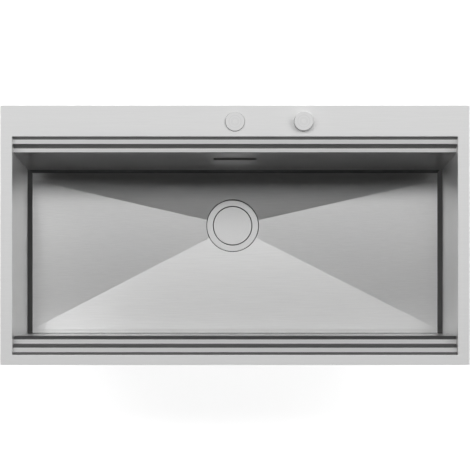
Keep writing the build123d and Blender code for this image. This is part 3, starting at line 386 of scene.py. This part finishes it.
def brushed_steel(
    name, along, colour=SHEET_COLOUR, roughness=0.30, anisotropy=0.92, painted_bend_shade=1.0, ledges=None,
    spread=0.03, relief=0.05,
):
    """Sheet brushed in straight lines along one direction, with painted shade that darkens its bends and
    risers.

    ledges gives the level above which flat faces have a satin roughness and, as painted light, a lighter
    colour."""
    material, tree, shader = new_material(name)
    position = object_position(tree)
    stretch = tuple(GRAIN_STRETCH if part else 1.0 for part in along)
    grain = place_group(tree, brushed_grain, Position=position, Stretch=stretch, Fineness=GRAIN_FINENESS)
    tone = spread_tone(tree, grain.outputs["Scratches"], colour, spread)
    rough = noise_range(tree, grain.outputs["Streaks"], roughness - STREAK_SHINE, roughness + STREAK_SHINE)
    slopes = place_group(tree, slope_mask, Normal=surface_normal(tree))
    # painted shade: sloping bends and risers get a darker copy of the colour
    if painted_bend_shade < 1.0:
        tone = two_tones(tree, slopes.outputs["Sloping"], tone, shade(colour, painted_bend_shade))
    if ledges is not None:
        level = place_group(tree, level_mask, Position=position, Low=ledges, High=ledges + LEDGE_STEP)
        # painted light on the ledges' flat tops, together with their real satin roughness
        satin_and_painted_light = math_node(tree, "MULTIPLY", level.outputs["Above"], slopes.outputs["Flat"])
        tone = two_tones(tree, satin_and_painted_light, tone, shade(LEDGE_PAINTED_LIGHT_COLOUR, 1.0))
        rough = blend_values(tree, satin_and_painted_light, rough, LEDGE_ROUGHNESS)
    tree.links.new(tone, shader.inputs["Base Color"])
    tree.links.new(rough, shader.inputs["Roughness"])
    shader.inputs["Metallic"].default_value = 1.0
    shader.inputs["Anisotropic"].default_value = anisotropy
    tree.links.new(across_grain(tree, along), shader.inputs["Tangent"])
    add_bump(tree, shader, grain.outputs["Scratches"], GRAIN_DEPTH, relief)
    return material


def from_centre(tree, position, centre):
    """How far a point lies from an upright axis."""
    offset = tree.nodes.new("ShaderNodeVectorMath")
    offset.operation = "SUBTRACT"
    tree.links.new(position, offset.inputs[0])
    offset.inputs[1].default_value = (*centre, 0.0)
    flat = tree.nodes.new("ShaderNodeVectorMath")
    flat.operation = "MULTIPLY"
    tree.links.new(offset.outputs["Vector"], flat.inputs[0])
    flat.inputs[1].default_value = (1.0, 1.0, 0.0)
    length = tree.nodes.new("ShaderNodeVectorMath")
    length.operation = "LENGTH"
    tree.links.new(flat.outputs["Vector"], length.inputs[0])
    return length.outputs["Value"]


def spun_steel(name, centre, marks=1400.0, spread=0.03, throat=None):
    """A turned face with fine rings about its own centre, as many to the metre as marks.

    throat gives the level below which the colour is darker, as painted shade inside the drain."""
    material, tree, shader = new_material(name)
    position = object_position(tree)
    rings = tree.nodes.new("ShaderNodeTexNoise")
    rings.noise_dimensions = "1D"
    rings.inputs["Scale"].default_value = marks
    rings.inputs["Detail"].default_value = 2.0
    tree.links.new(from_centre(tree, position, centre), rings.inputs["W"])
    tone = spread_tone(tree, rings.outputs["Fac"], RING_COLOUR, spread)
    # painted shade: below the throat level the spun steel is darkened
    if throat is not None:
        level = place_group(tree, level_mask, Position=position, Low=throat - THROAT_STEP, High=throat)
        tone = two_tones(tree, level.outputs["Above"], shade(RING_COLOUR, THROAT_PAINTED_SHADE), tone)
    tree.links.new(tone, shader.inputs["Base Color"])
    duller, shinier = RING_ROUGHNESS + RING_SHINE, RING_ROUGHNESS - RING_SHINE
    tree.links.new(noise_range(tree, rings.outputs["Fac"], shinier, duller), shader.inputs["Roughness"])
    shader.inputs["Metallic"].default_value = 1.0
    add_bump(tree, shader, rings.outputs["Fac"], FINE_DEPTH, FINE_RELIEF)
    return material


def plain_metal(name, colour, roughness, size=60.0):
    """Metal as it comes from the mill or the plating bath, slightly cloudy."""
    material, tree, shader = new_material(name)
    mottle = place_group(tree, soft_mottle, Position=object_position(tree), Size=size, Grit=MILL_GRIT)
    clouds = mottle.outputs["Clouds"]
    mask = noise_range(tree, clouds, 0.0, 1.0)
    tone = two_tones(tree, mask, shade(colour, MILL_DARKER), shade(colour, MILL_LIGHTER))
    tree.links.new(tone, shader.inputs["Base Color"])
    rough = noise_range(tree, clouds, roughness + MILL_DULLER, roughness - MILL_SHINIER)
    tree.links.new(rough, shader.inputs["Roughness"])
    shader.inputs["Metallic"].default_value = 1.0
    add_bump(tree, shader, mottle.outputs["Grains"], FINE_DEPTH, FINE_RELIEF)
    return material


def moulded(name, colour, roughness, grain_height, spread=0.10, size=30.0, grit=1100.0):
    """Rubber or plastic with a fine moulded grain."""
    material, tree, shader = new_material(name)
    mottle = place_group(tree, soft_mottle, Position=object_position(tree), Size=size, Grit=grit)
    grains = mottle.outputs["Grains"]
    tone = spread_tone(tree, mottle.outputs["Clouds"], colour, spread)
    tree.links.new(tone, shader.inputs["Base Color"])
    rough = noise_range(tree, grains, roughness - MOULDED_SHINE, roughness + MOULDED_SHINE)
    tree.links.new(rough, shader.inputs["Roughness"])
    add_bump(tree, shader, grains, grain_height, MOULDED_RELIEF)
    return material


ALONG_X = (1.0, 0.0, 0.0)
ALONG_Y = (0.0, 1.0, 0.0)
UPWARD = (0.0, 0.0, 1.0)
DOWNWARD = (0.0, 0.0, -1.0)

deck_steel = brushed_steel(
    "brushed deck steel", ALONG_X, colour=DECK_COLOUR, roughness=0.95, anisotropy=0.0,
    spread=0.006, relief=0.02,
)
# The wall, end and floor steel darken their bends and risers as painted shade
wall_steel = brushed_steel("brushed wall steel", ALONG_X, painted_bend_shade=0.45, ledges=LEDGE_LEVEL)
end_steel = brushed_steel("brushed end steel", ALONG_Y, painted_bend_shade=0.22)
floor_steel = brushed_steel("brushed floor steel", ALONG_X, colour=FLOOR_COLOUR, painted_bend_shade=0.27)
ring_steel = spun_steel("spun drain steel", DRAIN, throat=THROAT_LEVEL)
cap_steel = spun_steel("spun cap steel", TAP_CAP, marks=460.0, spread=0.035)
knob_steel = spun_steel("spun knob steel", KNOB, marks=460.0, spread=0.04)
cover_steel = brushed_steel("brushed cover steel", ALONG_X)
mill_steel = plain_metal("mill steel", (0.52, 0.52, 0.51), 0.36)
weld_steel = plain_metal("welded steel", (0.40, 0.39, 0.37), 0.48, 220.0)
zinc = plain_metal("zinc plate", (0.56, 0.58, 0.60), 0.34, 140.0)
brass = plain_metal("satin brass", (0.68, 0.50, 0.25), 0.30, 90.0)
black_rubber = moulded("black rubber", (0.030, 0.030, 0.031), 0.62, 0.00006)
grey_foam = moulded("grey foam", (0.14, 0.14, 0.145), 0.85, 0.0003, spread=0.2, size=60.0, grit=420.0)
damping_mat = moulded(
    "damping mat", (0.10, 0.10, 0.105), 0.80, 0.00025, spread=0.18, size=14.0, grit=260.0
)
white_plastic = moulded("white plastic", (0.78, 0.78, 0.76), 0.36, 0.00003, 0.03)
black_plastic = moulded("black plastic", (0.028, 0.028, 0.030), 0.42, 0.00005)

FINISHES = {
    "deck_plate": deck_steel,
    "front_panel": wall_steel,
    "rear_panel": wall_steel,
    "left_end_panel": end_steel,
    "right_end_panel": end_steel,
    "bowl_floor": floor_steel,
    "overflow_cover": cover_steel,
    "strainer_flange": ring_steel,
    "drain_cover": ring_steel,
    "tap_hole_cap": cap_steel,
    "control_knob": knob_steel,
}
SLOT_FINISHES = {
    "steel_plain": mill_steel,
    "zinc_steel": zinc,
    "brass": brass,
    "black_rubber": black_rubber,
    "grey_foam": grey_foam,
    "damping_pad": damping_mat,
    "white_plastic": white_plastic,
    "black_plastic": black_plastic,
}


def dress_nodes():
    """Gives every node its finish."""
    slots = {part["node"]: part["material_slot"] for part in frame["record"]["subparts"]}
    for name, piece in nodes.items():
        finish = FINISHES.get(name) or SLOT_FINISHES[slots[name]]
        piece.data.materials.clear()
        piece.data.materials.append(finish)


# Small pieces that the CAD leaves out

LATHE_STEPS = 96
ROD_SIDES = 10

# Sections of the black rubber seal lips, as radius and level. Besides sealing, they stand in as painted
# shade for the dark gaps round the drain flange, the tap cap and the knob
FLANGE_SEAL_AND_SHADE_LIP = [
    (0.05555, -0.21425), (0.05695, -0.21425), (0.05695, -0.2131), (0.0565, -0.2127), (0.0559, -0.2128),
]
CAP_SEAL_AND_SHADE_LIP = [(0.0183, 0.00276), (0.0192, 0.00276), (0.0194, 0.0031), (0.0191, 0.00344), (0.0183, 0.00344)]
KNOB_SEAL_AND_SHADE_LIP = [(0.0183, 0.00272), (0.0192, 0.00272), (0.0194, 0.0029), (0.0191, 0.00312), (0.0183, 0.00312)]
SEAL_AND_SHADE_LIPS = {
    "flange_seal_and_shade_lip": (DRAIN, FLANGE_SEAL_AND_SHADE_LIP, "sink"),
    "cap_seal_and_shade_lip": (TAP_CAP, CAP_SEAL_AND_SHADE_LIP, "tap_cap"),
    "knob_seal_and_shade_lip": (KNOB, KNOB_SEAL_AND_SHADE_LIP, "sink"),
}

# Ribs for the hand on the plastic pieces
RIB_RISE = 0.0009
RIB_WIDTH = 0.0016
RIB_ROOT = 0.0002
RIB_END = 0.0012
RIB_END_SIZE = 0.35
PIPE_NUT = {"radius": 0.0185, "length": 0.0128, "count": 20}
UPPER_NUT = (-0.0352, 0.17997, -0.1023)
LOWER_NUT = (-0.0352, 0.0858, -0.2378)
GLAND_NUT = {"radius": 0.0130, "length": 0.0118, "count": 16}
GLAND_START = (-0.0052, 0.0615, -0.2835)
DRAIN_CUP = {"radius": 0.0486, "length": 0.026, "count": 36}
DRAIN_CUP_FOOT = -0.2495
OVERFLOW_PORT_GAP = (100.0, 162.0)

# Thread on the outlet, which runs out over as many lathe steps at each end
THREAD_RADIUS = 0.0239
THREAD_TOP = -0.2985
THREAD_FOOT = -0.3160
THREAD_PITCH = 0.0025
THREAD_RISE = 0.0008
THREAD_ROOT = 0.0004
THREAD_FLANK = 0.0009
THREAD_CREST = 0.0003
THREAD_RUN_OUT = 24

# Weld seams at the bowl's outer corners, as Y and Z down the outside of each wall
SEAM_X = 0.4466
SEAM_BEAD = 0.0009
SEAM_DIP = 0.82
SEAM_STEP = 0.00175
FRONT_SEAM = [
    (-0.2370, -0.0040), (-0.2350, -0.0062), (-0.2260, -0.0065), (-0.2190, -0.0156), (-0.2175, -0.0165),
    (-0.2096, -0.0166), (-0.2036, -0.0226), (-0.2033, -0.0245), (-0.2033, -0.1825),
]
REAR_SEAM = [
    (0.1948, -0.0040), (0.1930, -0.0062), (0.1841, -0.0065), (0.1768, -0.0156), (0.1755, -0.0165),
    (0.1684, -0.0166), (0.1663, -0.0230), (0.1525, -0.1825),
]


def add_piece(name, mesh, finish, body="sink"):
    """A finished mesh as a smooth piece that rides a body."""
    mesh.materials.append(finish)
    mesh.polygons.foreach_set("use_smooth", [True] * len(mesh.polygons))
    piece = bpy.data.objects.new(name, mesh)
    bpy.context.scene.collection.objects.link(piece)
    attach(piece, body)


def finish_piece(name, made, finish):
    """A worked mesh as a piece of the sink."""
    bmesh.ops.recalc_face_normals(made, faces=made.faces)
    mesh = bpy.data.meshes.new(name)
    made.to_mesh(mesh)
    made.free()
    add_piece(name, mesh, finish)


def turned_mesh(name, centre, outline):
    """A closed outline of (radius, level) turned about an upright axis."""
    mesh = bpy.data.meshes.new(name)
    points, faces = [], []
    count = len(outline)
    for step in range(LATHE_STEPS):
        angle = 2 * math.pi * step / LATHE_STEPS
        for radius, level in outline:
            x = centre[0] + radius * math.cos(angle)
            y = centre[1] + radius * math.sin(angle)
            points.append((x, y, level))
        here = step * count
        after = (step + 1) % LATHE_STEPS * count
        for index in range(count):
            onward = (index + 1) % count
            faces.append((here + index, after + index, after + onward, here + onward))
    mesh.from_pydata(points, [], faces)
    return mesh


def turned_frame(start, along):
    """A matrix that takes Z to a direction at a starting point."""
    turn = Vector(UPWARD).rotation_difference(Vector(along)).to_matrix().to_4x4()
    return Matrix.Translation(Vector(start)) @ turn


def directions(angle):
    """The directions outward from an upright axis and across it, at an angle."""
    outward = Vector((math.cos(angle), math.sin(angle), 0.0))
    across = Vector((-math.sin(angle), math.cos(angle), 0.0))
    return outward, across


def oval_ring(made, middle, first, second):
    """Points round an oval, given its middle and its two half axes."""
    ring = []
    for part in range(ROD_SIDES):
        turn = 2 * math.pi * part / ROD_SIDES
        ring.append(made.verts.new(middle + first * math.cos(turn) + second * math.sin(turn)))
    return ring


def join_rings(made, rings):
    """Faces between rings of points, with both ends closed."""
    for ring, onward in zip(rings, rings[1:]):
        for part in range(len(ring)):
            after = (part + 1) % len(ring)
            made.faces.new((ring[part], ring[after], onward[after], onward[part]))
    made.faces.new(list(reversed(rings[0])))
    made.faces.new(rings[-1])


def add_rib(made, angle, radius, length):
    """One rounded rib along the outside of an upright round piece."""
    outward, across = directions(angle)
    sizes = ((0.0, RIB_END_SIZE), (RIB_END, 1.0), (length - RIB_END, 1.0), (length, RIB_END_SIZE))
    rings = []
    for level, size in sizes:
        middle = outward * (radius - RIB_ROOT) + Vector((0.0, 0.0, level))
        rings.append(oval_ring(made, middle, outward * (RIB_RISE * size), across * (RIB_WIDTH / 2 * size)))
    join_rings(made, rings)


def grip_ribs(name, start, along, radius, length, count, gap=(0.0, 0.0)):
    """White plastic ribs round a turned piece, left out over a gap of angles in degrees."""
    made = bmesh.new()
    for step in range(count):
        degrees = 360.0 * step / count
        if not gap[0] < degrees < gap[1]:
            add_rib(made, math.radians(degrees), radius, length)
    made.transform(turned_frame(start, along))
    finish_piece(name, made, white_plastic)


def outlet_thread():
    """The round thread on the outlet, which takes the trap's nut."""
    made = bmesh.new()
    count = int((THREAD_TOP - THREAD_FOOT) / THREAD_PITCH * LATHE_STEPS)
    rings = []
    for step in range(count + 1):
        outward, _ = directions(2 * math.pi * step / LATHE_STEPS)
        level = THREAD_TOP - THREAD_PITCH * step / LATHE_STEPS
        rise = THREAD_RISE * min(1.0, step / THREAD_RUN_OUT, (count - step) / THREAD_RUN_OUT)
        section = (
            (-THREAD_ROOT, THREAD_FLANK), (-THREAD_ROOT, -THREAD_FLANK),
            (rise, -THREAD_CREST), (rise, THREAD_CREST),
        )
        ring = []
        for reach, lift in section:
            place = outward * (THREAD_RADIUS + reach) + Vector((*DRAIN, level + lift))
            ring.append(made.verts.new(place))
        rings.append(ring)
    join_rings(made, rings)
    finish_piece("outlet_thread", made, white_plastic)


def walk_line(corners, spacing):
    """Points at an even spacing along a line of corners."""
    points = []
    for start, end in zip(corners, corners[1:]):
        start, end = Vector(start), Vector(end)
        steps = max(1, round((end - start).length / spacing))
        points.extend(start.lerp(end, step / steps) for step in range(steps))
    points.append(Vector(corners[-1]))
    return points


def weld_bead(name, side, seam):
    """The rippled bead that closes an outer corner between two panels."""
    made = bmesh.new()
    points = walk_line([(side * SEAM_X, y, z) for y, z in seam], SEAM_STEP)
    sideways = Vector(ALONG_X)
    rings = []
    for index, point in enumerate(points):
        before = points[max(index - 1, 0)]
        after = points[min(index + 1, len(points) - 1)]
        upward = (after - before).normalized().cross(sideways).normalized()
        swell = SEAM_BEAD * (1.0 if index % 2 else SEAM_DIP)
        rings.append(oval_ring(made, point, sideways * swell, upward * swell))
    join_rings(made, rings)
    finish_piece(name, made, weld_steel)


def add_details():
    """Seal lips, which also paint the shade of the gaps round the flange, cap and knob, then ribs, the
    thread and the weld seams.
    """
    # painted shade: the black lips darken the outlines of the gaps as their shade would
    for name, (centre, outline, body) in SEAL_AND_SHADE_LIPS.items():
        add_piece(name, turned_mesh(name, centre, outline), black_rubber, body)
    grip_ribs("upper_pipe_nut_ribs", UPPER_NUT, DOWNWARD, **PIPE_NUT)
    grip_ribs("lower_pipe_nut_ribs", LOWER_NUT, ALONG_Y, **PIPE_NUT)
    grip_ribs("gland_nut_ribs", GLAND_START, ALONG_Y, **GLAND_NUT)
    grip_ribs("drain_cup_ribs", (*DRAIN, DRAIN_CUP_FOOT), UPWARD, **DRAIN_CUP, gap=OVERFLOW_PORT_GAP)
    outlet_thread()
    for label, side in (("left", -1), ("right", 1)):
        weld_bead(f"{label}_front_weld", side, FRONT_SEAM)
        weld_bead(f"{label}_rear_weld", side, REAR_SEAM)


# Studio

def build_stage():
    """A pale floor under the sink that shows as white and keeps the sink's shadow."""
    level = cad_low.z - STAGE_GAP
    mesh = bpy.data.meshes.new("stage floor")
    corners = [(x * STAGE_HALF, y * STAGE_HALF, level) for x, y in ((-1, -1), (1, -1), (1, 1), (-1, 1))]
    mesh.from_pydata(corners, [], [(0, 1, 2, 3)])
    floor = bpy.data.objects.new("stage_floor", mesh)
    bpy.context.scene.collection.objects.link(floor)
    material, tree, shader = new_material("pale floor")
    shader.inputs["Base Color"].default_value = STAGE_COLOUR
    shader.inputs["Roughness"].default_value = STAGE_ROUGHNESS
    shader.inputs["Specular IOR Level"].default_value = 0.0
    shader.inputs["Emission Color"].default_value = WHITE
    rays = tree.nodes.new("ShaderNodeLightPath").outputs
    seen = math_node(tree, "MAXIMUM", rays["Is Camera Ray"], rays["Is Glossy Ray"])
    seen = math_node(tree, "MAXIMUM", seen, rays["Is Transmission Ray"])
    glow = math_node(tree, "MULTIPLY", seen, STAGE_GLOW)
    tree.links.new(glow, shader.inputs["Emission Strength"])
    mesh.materials.append(material)


def build_world():
    """A dim room with a pale horizon."""
    world = bpy.data.worlds.new("studio")
    bpy.context.scene.world = world
    world.use_nodes = True
    tree = world.node_tree
    tree.nodes.clear()
    output = tree.nodes.new("ShaderNodeOutputWorld")
    direction = tree.nodes.new("ShaderNodeTexCoord").outputs["Generated"]
    parts = tree.nodes.new("ShaderNodeSeparateXYZ")
    tree.links.new(direction, parts.inputs["Vector"])
    room = map_range(tree, parts.outputs["Z"], ROOM_PALE_TO, ROOM_DIM_FROM, ROOM_PALE, ROOM_DIM)
    background = tree.nodes.new("ShaderNodeBackground")
    background.inputs["Color"].default_value = WHITE
    tree.links.new(room, background.inputs["Strength"])
    tree.links.new(background.outputs["Background"], output.inputs["Surface"])


def hang_lamp(name, width, depth, brightness, place, turn):
    """One soft rectangular lamp that the camera doesn't see."""
    light = bpy.data.lights.new(name, "AREA")
    light.shape = "RECTANGLE"
    light.size = width
    light.size_y = depth
    light.energy = brightness * width * depth * math.pi
    lamp = bpy.data.objects.new(name, light)
    lamp.location = place
    lamp.rotation_euler = turn
    lamp.visible_camera = False
    bpy.context.scene.collection.objects.link(lamp)


def build_lamps():
    """Softboxes overhead and behind, and one at each side."""
    for name, ((left, right), (front, back), brightness) in SOFTBOXES.items():
        middle = ((left + right) / 2, (front + back) / 2, SOFTBOX_HEIGHT)
        hang_lamp(name, right - left, back - front, brightness, middle, (0.0, 0.0, 0.0))
    for name, (side, brightness) in SIDE_LAMPS.items():
        height = SIDE_LAMP_TOP - SIDE_LAMP_FOOT
        span = SIDE_LAMP_BACK - SIDE_LAMP_FRONT
        middle = (SIDE_LAMP_BACK + SIDE_LAMP_FRONT) / 2
        place = (side * SIDE_LAMP_DISTANCE, middle, (SIDE_LAMP_FOOT + SIDE_LAMP_TOP) / 2)
        hang_lamp(name, height, span, brightness, place, (0.0, side * math.pi / 2, 0.0))


def build_camera():
    """The photograph's camera."""
    camera = bpy.data.cameras.new("camera")
    camera.lens = CAMERA_LENS
    camera.sensor_width = SENSOR_WIDTH
    camera.shift_y = PHOTO_SHIFT / FRAME_WIDTH
    camera.clip_end = VIEW_REACH
    holder = bpy.data.objects.new("camera", camera)
    holder.location = (0.0, CAMERA_Y, DECK_TOP + CAMERA_HEIGHT)
    bpy.context.scene.collection.objects.link(holder)
    bpy.context.scene.camera = holder


bpy.context.scene.view_settings.view_transform = "Standard"
build_camera()
dress_nodes()
add_details()
build_stage()
build_world()
build_lamps()
